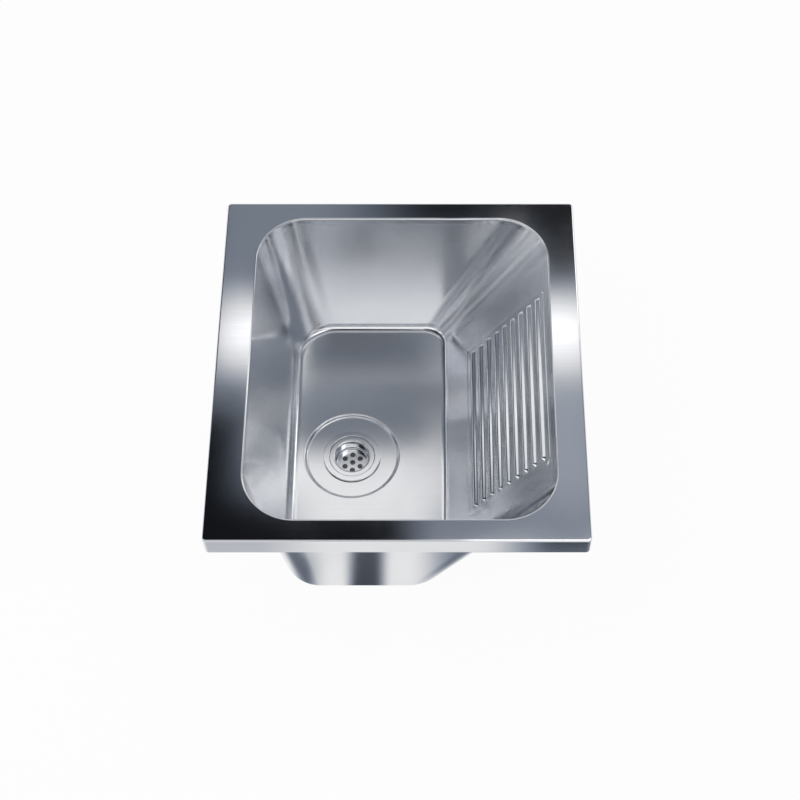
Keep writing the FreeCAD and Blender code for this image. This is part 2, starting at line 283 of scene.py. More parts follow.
def move_corners(before, after, rise):
    """Move each rounded corner of the selected loop from its middle and radii to the next ones."""
    mesh = edit_mesh()
    loop = [(number, vert.co.copy()) for number, vert in enumerate(mesh.verts) if vert.select]
    middle_x = sum(corner[0] for corner in before) / 4
    middle_y = sum(corner[1] for corner in before) / 4
    for side, old, new in zip(CORNERS, before, after):
        group = []
        for number, place in loop:
            if (place.x - middle_x) * side[0] > 0 and (place.y - middle_y) * side[1] > 0:
                group.append(number)
        choose(group)
        grow = (new[2] / old[2], new[3] / old[3], 1)
        bpy.ops.transform.resize(value=grow, center_override=(old[0], old[1], 0))
        bpy.ops.transform.translate(value=(new[0] - old[0], new[1] - old[1], rise))
    choose([number for number, place in loop])


def begin_outline(name, corners, level, segments):
    """Start a piece as a closed loop with four rounded corners."""
    quarter = 0.25
    piece = begin(name, bpy.ops.mesh.primitive_plane_add, size=4 * quarter)
    bpy.ops.mesh.bevel(offset=quarter, segments=segments, affect="VERTICES")
    bpy.ops.mesh.delete(type="ONLY_FACE")
    bpy.ops.mesh.select_all(action="SELECT")
    square = [(x * quarter, y * quarter, quarter, quarter) for x, y in CORNERS]
    move_corners(square, corners, level)
    return piece


def extend_outline(before, after, rise):
    """Extrude the selected rounded loop to its next corners and level."""
    bpy.ops.mesh.extrude_edges_indiv()
    move_corners(before, after, rise)


def sweep_outline(name, steps, segments):
    """Sheet through a row of rounded loops, each given by its corners and level."""
    corners, level = steps[0]
    piece = begin_outline(name, corners, level, segments)
    for next_corners, next_level in steps[1:]:
        extend_outline(corners, next_corners, next_level - level)
        corners, level = next_corners, next_level
    return piece


def extend_ring(axis, before, after):
    """Extrude the selected round loop from one radius and level to the next."""
    bpy.ops.mesh.extrude_edges_indiv()
    grow = after[0] / before[0]
    bpy.ops.transform.resize(value=(grow, grow, 1), center_override=(axis[0], axis[1], 0))
    bpy.ops.transform.translate(value=(0, 0, after[1] - before[1]))


def sweep_ring(name, axis, profile, segments):
    """Turned sheet through a row of radius and level pairs."""
    piece = begin(name, bpy.ops.mesh.primitive_circle_add, vertices=segments, radius=profile[0][0])
    bpy.ops.transform.translate(value=(axis[0], axis[1], profile[0][1]))
    for before, after in zip(profile, profile[1:]):
        extend_ring(axis, before, after)
    return piece


def bend(middle, radius, first, last, steps):
    """Points of an arc in a profile, from one angle to another in degrees."""
    points = []
    for i in range(steps + 1):
        angle = math.radians(first + (last - first) * i / steps)
        points.append((middle[0] + radius * math.cos(angle), middle[1] + radius * math.sin(angle)))
    return points


def off_start(radius, angle):
    """Distance of an arc from its first tangent after a turn in degrees."""
    return radius * (1 - math.cos(math.radians(angle)))


def off_end(radius, angle):
    """Distance of a quarter arc from its last tangent after a turn in degrees."""
    return radius * (1 - math.sin(math.radians(angle)))


def box_corners(left, right, front, back, radii):
    """Corners of a rounded rectangle: the middle of each arc and its two radii."""
    fl, fr, br, bl = radii
    return [
        (left + fl, front + fl, fl, fl),
        (right - fr, front + fr, fr, fr),
        (right - br, back - br, br, br),
        (left + bl, back - bl, bl, bl),
    ]


def inset_box(left, right, front, back, radius, inset):
    """Corners of a rounded rectangle whose sides all move in about the same middles."""
    return box_corners(left + inset, right - inset, front + inset, back - inset, (radius - inset,) * 4)


def inset_corners(corners, left, right, front, back):
    """Corners with each side moved in, about the same middles."""
    sides = ((left, front), (right, front), (right, back), (left, back))
    moved = []
    for (x, y, across, along), (dx, dy) in zip(corners, sides):
        moved.append((x, y, across - dx, along - dy))
    return moved


def merge_doubles():
    """Merge the vertices of the open mesh that lie on each other."""
    bpy.ops.mesh.select_all(action="SELECT")
    bpy.ops.mesh.remove_doubles(threshold=MERGE)


def tidy_sheet(place, towards):
    """Merge doubles and make all normals agree, with the face nearest to a place turned one way."""
    merge_doubles()
    bpy.ops.mesh.select_all(action="SELECT")
    bpy.ops.mesh.normals_make_consistent(inside=False)
    spot = Vector(place)
    mesh = edit_mesh()
    nearest = min(mesh.faces, key=lambda face: (face.calc_center_median() - spot).length)
    if nearest.normal.dot(Vector(towards)) < 0:
        bpy.ops.mesh.flip_normals()


def apply_modifier(piece, kind, **settings):
    """Add one modifier with its settings and apply it."""
    modifier = piece.modifiers.new(kind.title(), kind)
    for name, value in settings.items():
        setattr(modifier, name, value)
    bpy.context.view_layer.objects.active = piece
    bpy.ops.object.modifier_apply(modifier=modifier.name)


def finish_piece(piece, node, material, body="sink", sheet=0.0, edge=0.0, angle=38):
    """Thicken a sheet, soften its edges, smooth it and hand it to the frame in place of its node."""
    bpy.ops.object.mode_set(mode="OBJECT")
    pick(piece)
    if sheet:
        apply_modifier(
            piece, "SOLIDIFY", thickness=sheet, offset=-1.0, use_even_offset=True, use_quality_normals=True)
    if edge:
        apply_modifier(
            piece, "BEVEL", width=edge, segments=2, limit_method="ANGLE", angle_limit=math.radians(50),
            miter_outer="MITER_ARC", use_clamp_overlap=True)
    bpy.ops.object.shade_smooth_by_angle(angle=math.radians(angle))
    apply_modifier(piece, "WEIGHTED_NORMAL", mode="FACE_AREA", weight=50, keep_sharp=True)
    piece.data.materials.clear()
    piece.data.materials.append(bpy.data.materials[material])
    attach(piece, body)
    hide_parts(node)


def bowl_sides(deck, bowl):
    """Edges of the opening at the deck's top and how far each wall leans in."""
    left = deck.left - deck.width / 2
    right = deck.width / 2 - deck.right
    front = deck.front - deck.depth / 2
    back = deck.depth / 2 - deck.back
    return (left, right, front, back), (bowl.left, bowl.right, bowl.front, bowl.back)


def bowl_corners(deck, bowl, drop):
    """Corners of the bowl's plain section at a depth below the deck."""
    part = drop / bowl.depth
    (left, right, front, back), (lean_l, lean_r, lean_f, lean_b) = bowl_sides(deck, bowl)
    floor = (bowl.front_left, bowl.front_right, bowl.back_right, bowl.back_left)
    radii = [deck.opening + (radius - deck.opening) * part for radius in floor]
    return box_corners(
        left + lean_l * part, right - lean_r * part, front + lean_f * part, back - lean_b * part, radii)


def fillet_inset(radius, lean, depth, height):
    """How far a fillet between a leaning wall and a level face stands off the wall at a height."""
    turn = math.pi / 2 - math.atan2(lean, depth)
    if height >= radius * (1 - math.cos(turn)):
        return 0.0
    angle = math.acos(1 - height / radius)
    return radius * math.tan(turn / 2) - radius * math.sin(angle) + height * lean / depth


def rim_corners(deck, bowl, drop):
    """Corners of the opening's loop at a depth, with the roll at the deck's edge."""
    leans = bowl_sides(deck, bowl)[1]
    insets = [-fillet_inset(deck.rim_bend, lean, bowl.depth, drop) for lean in leans]
    return inset_corners(bowl_corners(deck, bowl, drop), *insets)


def floor_corners(deck, bowl, height):
    """Corners of the bowl's loop at a height above its floor, with the bend at the floor."""
    leans = bowl_sides(deck, bowl)[1]
    insets = [fillet_inset(bowl.floor_bend, lean, bowl.depth, height) for lean in leans]
    return inset_corners(bowl_corners(deck, bowl, bowl.depth - height), *insets)


def drain_axis(deck, bowl):
    """Plan position of the drain."""
    (left, _, front, _), (lean_l, _, lean_f, _) = bowl_sides(deck, bowl)
    return left + lean_l + bowl.drain_left, front + lean_f + bowl.drain_front


class SINK_OT_deck(bpy.types.Operator):
    """Model the top plate with its rolled rim, folded lip and return flange"""

    bl_idname = "sink.deck"
    bl_label = "Deck"

    def execute(self, context):
        deck, bowl = context.scene.sink_deck, context.scene.sink_bowl
        steps = [(rim_corners(deck, bowl, deck.rim_drop), deck.top - deck.rim_drop)]
        for angle in range(88, -1, -8):
            drop = off_start(deck.rim_bend, angle)
            steps.append((rim_corners(deck, bowl, drop), deck.top - drop))
        steps.append((inset_corners(steps[-1][0], *(-SUPPORT,) * 4), deck.top))

        def outer(inset, radius):
            half_x = deck.width / 2 - inset
            half_y = deck.depth / 2 - inset
            return box_corners(-half_x, half_x, -half_y, half_y, (radius,) * 4)

        start = deck.edge_bend
        steps.append((outer(start + SUPPORT, deck.corner - start - SUPPORT), deck.top))
        for angle in range(0, 91, 9):
            inset = off_end(start, angle)
            steps.append((outer(inset, deck.corner - inset), deck.top - off_start(start, angle)))
        steps.append((outer(0, deck.corner), deck.top - start - SUPPORT))
        steps.append((outer(0, deck.corner), deck.lip_bend + SUPPORT))
        for angle in range(0, 91, 15):
            inset = off_start(deck.lip_bend, angle)
            steps.append((outer(inset, deck.corner - inset), off_end(deck.lip_bend, angle)))
        steps.append((outer(deck.lip_bend + SUPPORT, deck.corner - deck.lip_bend - SUPPORT), 0))
        upturn_bend = 0.0015
        inner_corner = upturn_bend * 2
        steps.append((outer(deck.return_width - upturn_bend - SUPPORT, inner_corner), 0))
        for angle in range(0, 91, 18):
            inset = deck.return_width - off_end(upturn_bend, angle)
            steps.append((outer(inset, inner_corner), off_start(upturn_bend, angle)))
        steps.append((outer(deck.return_width, inner_corner), deck.upturn))
        piece = sweep_outline("deck_plate", steps, 32)
        tidy_sheet((0, -deck.depth / 2, deck.top / 2), (0, -1, 0))
        finish_piece(piece, "deck", "polished_deck_steel", sheet=deck.sheet)
        return {"FINISHED"}


# Radius of the rolled edges where the washboard meets its window, and the gap between them
BOARD_EDGE = 0.0007
BOARD_GAP = 0.00015


class SINK_OT_bowl(bpy.types.Operator):
    """Model the drawn bowl with its drain recess and the window for the washboard"""

    bl_idname = "sink.bowl"
    bl_label = "Bowl"

    def execute(self, context):
        deck, bowl = context.scene.sink_deck, context.scene.sink_bowl
        floor = deck.top - bowl.depth
        wall_strip, floor_strip, bend_strip = 0.002, 0.004, 0.0006
        steps = []
        for drop in (deck.rim_drop, deck.rim_drop + wall_strip):
            steps.append((bowl_corners(deck, bowl, drop), deck.top - drop))
        heights = [bowl.floor_bend + wall_strip]
        heights += [off_start(bowl.floor_bend, angle) for angle in range(88, -1, -8)]
        for height in heights:
            steps.append((floor_corners(deck, bowl, height), floor + height))
        steps.append((inset_corners(steps[-1][0], *(SUPPORT,) * 4), floor))
        piece = sweep_outline("bowl_shell", steps, 32)
        axis = drain_axis(deck, bowl)
        turn = bowl.recess_bend
        across = math.sqrt((2 * turn) ** 2 - (2 * turn - bowl.recess_depth) ** 2)
        outer = bowl.recess / 2 + across / 2
        inner = bowl.recess / 2 - across / 2
        border = outer + floor_strip
        extend_outline(steps[-1][0], [(axis[0], axis[1], border, border)] * 4, 0)
        tilt = math.degrees(math.atan2(2 * turn - bowl.recess_depth, across))
        low = floor - bowl.recess_depth
        profile = [(border, floor), (outer + bend_strip, floor)]
        profile += bend((outer, floor - turn), turn, 90, 180 - tilt, 6)
        profile += bend((inner, low + turn), turn, -tilt, -90, 6)[1:]
        profile += [(inner - bend_strip, low), (bowl.hole, low)]
        for before, after in zip(profile, profile[1:]):
            extend_ring(axis, before, after)
        merge_doubles()
        self.cut_window(context)
        behind_drain = (0, 0.1, floor)
        tidy_sheet(behind_drain, (0, 0, 1))
        finish_piece(piece, "bowl", "satin_bowl_steel", sheet=bowl.sheet)
        return {"FINISHED"}

    def cut_window(self, context):
        """Inset the washboard's wall and open a window with rounded corners and a rolled edge."""
        board = context.scene.sink_board
        place = board_place(context.scene)
        inverse = place.inverted()
        tall = board_height(board)
        roll = BOARD_EDGE
        off_plane, off_middle, first_inset = 0.0002, 0.02, 0.003

        def on_wall(middle):
            flat = inverse @ middle
            return abs(flat.z) < off_plane and 0 < flat.x < board.length and 0 < flat.y < tall

        def in_window(middle):
            return (inverse @ middle - Vector((board.length / 2, tall / 2, 0))).length < off_middle

        if choose_faces(on_wall) != 1:
            raise RuntimeError("the washboard's wall isn't one face")
        bpy.ops.mesh.inset(thickness=first_inset)
        bpy.ops.mesh.select_mode(type="VERT")
        mesh = edit_mesh()
        picked = [(number, vert.co.copy()) for number, vert in enumerate(mesh.verts) if vert.select]
        for number, spot in picked:
            flat = inverse @ spot
            x = board.length + roll if flat.x > board.length / 2 else -roll
            y = tall + roll if flat.y > tall / 2 else -roll
            choose([number])
            bpy.ops.transform.translate(value=place @ Vector((x, y, 0)) - spot)
        choose([number for number, spot in picked])
        bpy.ops.mesh.bevel(offset=board.corner + roll, segments=12, affect="VERTICES")
        if choose_faces(in_window) != 1:
            raise RuntimeError("the washboard's window isn't one face")
        for across, down in ((0.35, 0.12), (0.65, 0.78)):
            bpy.ops.mesh.inset(thickness=roll * across, depth=-roll * down)
        bpy.ops.mesh.delete(type="FACE")
        bpy.ops.mesh.select_mode(type="VERT")


def board_height(board):
    """Height of the washboard panel down the slope."""
    return (board.ribs - 1) * board.pitch + 2 * board.border


def board_place(scene):
    """Placement of the washboard: X to the back, Y down the slope, Z into the bowl."""
    deck, bowl, board = scene.sink_deck, scene.sink_bowl, scene.sink_board
    slope = math.hypot(bowl.right, bowl.depth)
    down = Vector((-bowl.right / slope, 0, -bowl.depth / slope))
    back = Vector((0, 1, 0))
    normal = back.cross(down)
    (_, right, front, _), _ = bowl_sides(deck, bowl)
    start = Vector((right, front + board.from_front, deck.top)) + down * board.top_gap
    return Matrix.Translation(start) @ Matrix((back, down, normal)).transposed().to_4x4()


class SINK_OT_washboard(bpy.types.Operator):
    """Model the washboard panel with one pressed rib, copied down the slope"""

    bl_idname = "sink.washboard"
    bl_label = "Washboard"

    def execute(self, context):
        board = context.scene.sink_board
        tall = board_height(board)
        pieces = [self.rib(board)]
        for row in range(1, board.ribs):
            pieces.append(copy_of(pieces[0]))
            bpy.ops.transform.translate(value=(0, board.pitch * row, 0))
        steps = []
        for angle in (0, 22.5, 45, 67.5, 90):
            inset = BOARD_GAP + off_start(BOARD_EDGE, angle)
            corners = inset_box(0, board.length, 0, tall, board.corner, inset)
            steps.append((corners, -off_end(BOARD_EDGE, angle)))
        piece = sweep_outline("washboard_panel", steps, 12)
        bpy.ops.object.mode_set(mode="OBJECT")
        for item in pieces:
            item.select_set(True)
        bpy.ops.object.join()
        bpy.ops.object.mode_set(mode="EDIT")
        choose_where(lambda co: abs(co.z) < SAME_LEVEL)
        bpy.ops.mesh.fill(use_beauty=True)
        bpy.ops.object.mode_set(mode="OBJECT")
        place = board_place(context.scene)
        piece.matrix_world = place
        bpy.ops.object.transform_apply(location=True, rotation=True, scale=True)
        bpy.ops.object.mode_set(mode="EDIT")
        normal = place.to_3x3() @ Vector((0, 0, 1))
        tidy_sheet(place @ Vector((board.length / 2, board.border + board.pitch / 2, 0)), normal)
        finish_piece(
            piece, "washboard", "satin_board_steel",
            sheet=context.scene.sink_bowl.sheet, angle=60)
        return {"FINISHED"}

    def rib(self, board):
        """One rib: rounded loops that rise from its foot to its crest."""
        half = board.rib_width / 2
        rises, crest, swell, round_share = 14, 0.985, 1.5, 0.999
        steps = []
        for i in range(rises + 1):
            part = i / rises
            inset = half * crest * part
            radius = half - inset
            level = board.rib_height * math.sin(math.pi / 2 * part) ** swell
            corners = box_corners(
                board.end_gap + inset, board.length - board.end_gap - inset,
                board.border - radius, board.border + radius, (radius * round_share,) * 4)
            steps.append((corners, level))
        piece = sweep_outline("rib", steps, 10)
        bpy.ops.mesh.edge_face_add()
        bpy.ops.object.mode_set(mode="OBJECT")
        return piece


# One turn of a thread: share of the pitch, and share of the depth below the crest
THREAD_FORM = ((0.0, 1), (0.12, 1), (0.42, 0), (0.58, 0), (0.88, 1))
# Sides of the turned pieces
TURNED_SIDES = 96


def thread_profile(radius, depth, pitch, low, high):
    """Crests and roots of a thread along a turned profile, from its low end to its high end."""
    points = []
    count = int((high - low) / pitch)
    for i in range(count):
        start = low + i * pitch
        for part, drop in THREAD_FORM:
            points.append((radius - depth * drop, start + pitch * part))
    return points


class SINK_OT_waste(bpy.types.Operator):
    """Turn the waste: rolled flange, strainer ledge, threaded tail and outlet"""

    bl_idname = "sink.waste"
    bl_label = "Waste"

    def execute(self, context):
        scene = context.scene
        waste = scene.sink_waste
        axis = drain_axis(scene.sink_deck, scene.sink_bowl)
        profile = self.inside(waste) + self.outside(waste)
        piece = sweep_ring("waste_fitting", axis, profile, TURNED_SIDES)
        on_flange = (axis[0] + waste.flange - 0.004, axis[1], waste.flange_top)
        tidy_sheet(on_flange, (0, 0, 1))
        finish_piece(piece, "waste_body", "turned_waste_steel", angle=34)
        return {"FINISHED"}

    def inside(self, waste):
        """Profile from the flange's edge over the strainer's ledge and down to the outlet's end."""
        top, end, t = waste.flange_top, waste.outlet_end, waste.sheet
        ledge, shoulder = top - waste.step_drop, waste.tail_end + t
        tail, outlet = waste.tail - t, waste.outlet - t
        edge, trim, thread_start = 0.001, 0.0003, 0.0009
        step_top, step_foot, tail_top, tail_foot, outlet_top = 0.0009, 0.0005, 0.0007, 0.002, 0.001
        profile = [(waste.flange, top - t)]
        profile += bend((waste.flange - edge, top - edge), edge, 0, 90, 5)
        profile += [(waste.flange - edge - trim, top)]
        profile += bend((waste.step + step_top, top - step_top), step_top, 90, 180, 5)
        profile += bend((waste.step - step_foot, ledge + step_foot), step_foot, 0, -90, 3)
        profile += bend((tail + tail_top, ledge - tail_top), tail_top, 90, 180, 4)
        profile += bend((tail - tail_foot, shoulder + tail_foot), tail_foot, 0, -90, 5)
        profile += bend((outlet + outlet_top, shoulder - outlet_top), outlet_top, 90, 180, 4)
        return profile + [(outlet, end + trim), (outlet + trim, end), (waste.outlet - thread_start, end)]

    def outside(self, waste):
        """Profile up the two threads from the outlet's end to the flange's underside."""
        under = waste.flange_top - waste.sheet
        seat = under - waste.step_drop
        step, outlet_root = waste.step + waste.sheet, waste.outlet - waste.thread
        thread = (waste.thread, waste.pitch)
        outlet_start, outlet_stop, tail_start, tail_stop = 0.0009, 0.004, 0.0016, 0.001
        neck, neck_rise, tail_edge, step_edge = 0.0012, 0.0015, 0.0015, 0.0006
        end, tail_end = waste.outlet_end, waste.tail_end
        profile = thread_profile(waste.outlet, *thread, end + outlet_start, tail_end - outlet_stop)
        profile += [(outlet_root, tail_end - neck_rise)]
        profile += bend((outlet_root + neck, tail_end - neck), neck, 180, 90, 3)
        profile += bend((waste.tail - tail_edge, tail_end + tail_edge), tail_edge, -90, 0, 4)[:-1]
        profile += thread_profile(waste.tail, *thread, tail_end + tail_start, seat - tail_stop)
        profile += [(waste.tail - waste.thread, seat), (step - step_edge, seat), (step, seat + step_edge)]
        return profile + [(step, under), (waste.flange, under)]


class SINK_OT_strainer(bpy.types.Operator):
    """Model the strainer cup that lifts out of the waste"""

    bl_idname = "sink.strainer"
    bl_label = "Strainer"

    def execute(self, context):
        scene = context.scene
        waste = scene.sink_waste
        axis = drain_axis(scene.sink_deck, scene.sink_bowl)
        t = waste.cup_sheet
        top = waste.flange_top - waste.step_drop + t
        base = top - waste.cup_depth
        inner = waste.cup - t
        trim, mouth, foot, floor_strip, spare = 0.0003, 0.003, 0.002, 0.0026, 0.00005
        profile = [(waste.cup_rim, top - trim), (waste.cup_rim - trim, top)]
        profile += bend((inner + mouth, top - mouth), mouth, 90, 180, 8)
        profile += bend((inner - foot, base + foot), foot, 0, -90, 6)
        profile += [(inner - floor_strip, base)]
        piece = sweep_ring("strainer_basket", axis, profile, TURNED_SIDES)
        spots = [(0.0, 0.0)]
        for i in range(6):
            angle = math.pi / 2 + math.pi / 3 * i
            spots.append((waste.hole_ring * math.cos(angle), waste.hole_ring * math.sin(angle)))
        for x, y in spots:
            bpy.ops.mesh.primitive_circle_add(
                vertices=32, radius=waste.hole, location=(axis[0] + x, axis[1] + y, base))
        reach = inner - floor_strip + spare
        centre = Vector((axis[0], axis[1], base))
        choose_where(lambda co: abs(co.z - base) < SAME_LEVEL and (co - centre).length < reach)
        bpy.ops.mesh.fill(use_beauty=True)
        between_holes = (axis[0], axis[1] + 0.007, base)
        tidy_sheet(between_holes, (0, 0, 1))
        finish_piece(
            piece, "strainer_cup", "spun_strainer_steel", body="strainer",
            sheet=t, edge=0.0002, angle=34)
        return {"FINISHED"}


def ring_profile(inner, outer, bottom, top, edge):
    """Closed profile of a flat ring with rounded edges."""
    profile = bend((outer - edge, bottom + edge), edge, -90, 0, 4)
    profile += bend((outer - edge, top - edge), edge, 0, 90, 4)
    profile += bend((inner + edge, top - edge), edge, 90, 180, 4)
    profile += bend((inner + edge, bottom + edge), edge, 180, 270, 4)
    return profile + profile[:1]


class SINK_OT_seals(bpy.types.Operator):
    """Turn the two rubber seals and the slip washer of the waste"""

    bl_idname = "sink.seals"
    bl_label = "Seals"

    def execute(self, context):
        scene = context.scene
        axis = drain_axis(scene.sink_deck, scene.sink_bowl)
        rubber, plastic = "moulded_seal_rubber", "moulded_washer_plastic"
        flange_bore, tail_bore = 0.0355, 0.0301
        rings = (
            ("flange_seal", "flange_gasket", "gasket_rubber", rubber, flange_bore, 0.00045),
            ("lower_seal", "lower_gasket", "gasket_rubber", rubber, tail_bore, 0.0009),
            ("slip_washer", "friction_washer", "washer_plastic", plastic, tail_bore, 0.0003),
        )
        for name, node, slot, material, inner, edge in rings:
            low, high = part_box(node)
            outer = (high.x - low.x) / 2
            profile = ring_profile(inner, outer, low.z, high.z, edge)
            piece = sweep_ring(name, axis, profile, TURNED_SIDES)
            tidy_sheet((axis[0] + outer, axis[1], (low.z + high.z) / 2), (1, 0, 0))
            finish_piece(piece, node, material, angle=50)
        return {"FINISHED"}


class SINK_OT_backnut(bpy.types.Operator):
    """Model the six-sided nut with turned corners and a threaded bore"""

    bl_idname = "sink.backnut"
    bl_label = "Nut"

    def execute(self, context):
        scene = context.scene
        waste = scene.sink_waste
        axis = drain_axis(scene.sink_deck, scene.sink_bowl)
        low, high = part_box("backnut")
        bottom, top = low.z, high.z
        half = waste.nut_flats / 2 / math.cos(math.pi / 6)
        bore = waste.tail + 0.0001
        chamfer, past_corner, fall, thread = 0.002, 0.0005, 0.00125, 0.0006
        face, side, mouth = half - chamfer, half + past_corner, bore + 2 * thread
        profile = [(face, bottom), (side, bottom + fall), (side, top - fall), (face, top)]
        profile += [(mouth, top), (bore + thread, top - thread)]
        inside = thread_profile(bore + thread, thread, waste.pitch, bottom + thread, top - thread)
        profile += list(reversed(inside))
        profile += [(mouth, bottom), (face, bottom)]
        blank = sweep_ring("nut_blank", axis, profile, TURNED_SIDES)
        tidy_sheet((axis[0] + half, axis[1], (bottom + top) / 2), (1, 0, 0))
        bpy.ops.object.mode_set(mode="OBJECT")
        longer = 0.002
        piece = begin(
            "clamping_nut", bpy.ops.mesh.primitive_cylinder_add,
            vertices=6, radius=half, depth=top - bottom + longer)
        bpy.ops.transform.rotate(value=math.pi / 6, orient_axis="Z", center_override=(0, 0, 0))
        bpy.ops.transform.translate(value=(axis[0], axis[1], (bottom + top) / 2))
        bpy.ops.object.mode_set(mode="OBJECT")
        apply_modifier(piece, "BOOLEAN", operation="INTERSECT", object=blank, solver="EXACT")
        bpy.data.objects.remove(blank)
        bpy.ops.object.mode_set(mode="EDIT")
        finish_piece(piece, "backnut", "turned_brass", edge=0.0003, angle=34)
        return {"FINISHED"}


class SINK_OT_pad(bpy.types.Operator):
    """Model the damping pad with a raised border under the bowl's floor"""

    bl_idname = "sink.pad"
    bl_label = "Damping pad"

    def execute(self, context):
        low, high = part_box("sound_pad")
        corner, trim, edge = 0.015, 0.0004, 0.0008
        border, border_slope, border_height = 0.005, 0.001, 0.0007
        insets = [(trim, high.z), (0, high.z - trim), (0, low.z + edge)]
        for angle in (22.5, 45, 67.5, 90):
            insets.append((off_start(edge, angle), low.z + off_end(edge, angle)))
        loops = []
        for inset, level in insets:
            loops.append((inset_box(low.x, high.x, low.y, high.y, corner, inset), level))
        piece = sweep_outline("damping_pad", loops, 10)
        bpy.ops.mesh.edge_face_add()
        bpy.ops.mesh.inset(thickness=border)
        bpy.ops.mesh.inset(thickness=border_slope, depth=-border_height)
        choose_where(lambda co: abs(co.z - high.z) < SAME_LEVEL)
        bpy.ops.mesh.edge_face_add()
        tidy_sheet(((low.x + high.x) / 2, (low.y + high.y) / 2, high.z), (0, 0, 1))
        finish_piece(piece, "sound_pad", "pressed_pad_rubber", angle=50)
        return {"FINISHED"}


# Path of a clip's strip: distance in from the deck's side, and level
CLIP_PATH = (
    (0.01325, 0.0022), (0.01325, 0.0076), (0.01575, 0.0076),
    (0.01575, 0.0009), (0.0189, 0.0009), (0.0189, -0.032),
)


class SINK_OT_clips(bpy.types.Operator):
    """Bend one hook clip from a strip and copy it to its four places"""

    bl_idname = "sink.clips"
    bl_label = "Clips"

    def execute(self, context):
        sheet, width = 0.0012, 0.030
        edge = context.scene.sink_deck.width / 2
        spot = 0.16
        first = self.strip([(inward - edge, level) for inward, level in CLIP_PATH], -spot, sheet, width)
        names = ("clip_left_front", "clip_left_back", "clip_right_back", "clip_right_front")
        clips = [first]
        for turn, shift in ((0, 2 * spot), (math.pi, 0), (math.pi, -2 * spot)):
            clips.append(copy_of(first))
            bpy.ops.transform.rotate(value=turn, orient_axis="Z", center_override=(0, 0, 0))
            bpy.ops.transform.translate(value=(0, shift, 0))
            bpy.ops.object.transform_apply(location=True, rotation=True, scale=True)
        for clip, node in zip(clips, names):
            clip.name = "hook_" + node
            clip.data.name = clip.name
            pick(clip)
            bpy.ops.object.mode_set(mode="EDIT")
            finish_piece(clip, node, "zinc_plating", edge=0.0002, angle=34)
        return {"FINISHED"}

    def strip(self, path, y, sheet, width):
        """Strip extruded along its path, with rounded bends, rounded corners and a screw hole."""
        on_path, corner, bend_radius = 0.00001, 0.005, 0.0009
        hole, hole_level, drill_length = 0.0025, -0.018, 0.01
        piece = begin("hook_clip", bpy.ops.mesh.primitive_plane_add, size=1.0)
        choose_where(lambda co: co.x > 0)
        bpy.ops.mesh.delete(type="VERT")
        bpy.ops.mesh.select_all(action="SELECT")
        bpy.ops.transform.resize(value=(1, width, 1), center_override=(0, 0, 0))
        bpy.ops.transform.translate(value=(path[0][0] + 0.5, y, path[0][1]))
        for before, after in zip(path, path[1:]):
            bpy.ops.mesh.extrude_edges_indiv()
            bpy.ops.transform.translate(value=(after[0] - before[0], 0, after[1] - before[1]))
        low = path[-1][1]
        choose_where(lambda co: abs(co.z - low) < on_path)
        bpy.ops.mesh.bevel(offset=corner, segments=6, affect="VERTICES")

        def on_bend(first, second):
            across = abs(first.y - second.y) > width * 0.9
            return across and any(abs(first.x - x) + abs(first.z - z) < on_path for x, z in path[1:-1])

        choose_edges(on_bend)
        bpy.ops.mesh.bevel(offset=bend_radius, segments=4, affect="EDGES")
        bpy.ops.mesh.select_mode(type="VERT")
        tidy_sheet((path[-1][0], y, low / 2), (1, 0, 0))
        bpy.ops.object.mode_set(mode="OBJECT")
        apply_modifier(piece, "SOLIDIFY", thickness=sheet, offset=0.0, use_even_offset=True)
        drill = begin(
            "drill", bpy.ops.mesh.primitive_cylinder_add, vertices=32, radius=hole, depth=drill_length)
        bpy.ops.transform.rotate(value=math.pi / 2, orient_axis="Y", center_override=(0, 0, 0))
        bpy.ops.transform.translate(value=(path[-1][0], y, hole_level))
        bpy.ops.object.mode_set(mode="OBJECT")
        apply_modifier(piece, "BOOLEAN", operation="DIFFERENCE", object=drill, solver="EXACT")
        bpy.data.objects.remove(drill)
        return piece


def fill(tree, socket, value):
    """Link a socket, or set it to a value."""
    if isinstance(value, bpy.types.NodeSocket):
        tree.links.new(value, socket)
    else:
        socket.default_value = value


def add_node(tree, kind, inputs=None, **settings):
    """Add a shader node, set it and fill its inputs with values or links."""
    node = tree.nodes.new(kind)
    for name, value in settings.items():
        setattr(node, name, value)
    for name, value in (inputs or {}).items():
        fill(tree, node.inputs[name], value)
    return node


def calc(tree, operation, *values):
    """Math node on one to three values or links, as a link."""
    node = tree.nodes.new("ShaderNodeMath")
    node.operation = operation
    for socket, value in zip(node.inputs, values):
        fill(tree, socket, value)
    return node.outputs[0]


def mix_value(tree, factor, first, second):
    """Mix of two values, as a link."""
    return add_node(tree, "ShaderNodeMix", {0: factor, 2: first, 3: second}).outputs[0]


def mix_colour(tree, factor, first, second):
    """Mix of two colours, as a link."""
    return add_node(tree, "ShaderNodeMix", {0: factor, 6: first, 7: second}, data_type="RGBA").outputs[2]


def spread(tree, value, low, high, first, last):
    """Map a range of values smoothly to another, as a link."""
    inputs = {"Value": value, 1: low, 2: high, 3: first, 4: last}
    return add_node(tree, "ShaderNodeMapRange", inputs, interpolation_type="SMOOTHSTEP").outputs[0]


def noise(tree, place, size, **settings):
    """Noise at a place and size, as a link."""
    return add_node(tree, "ShaderNodeTexNoise", {"Vector": place, "Scale": size, **settings}).outputs["Fac"]


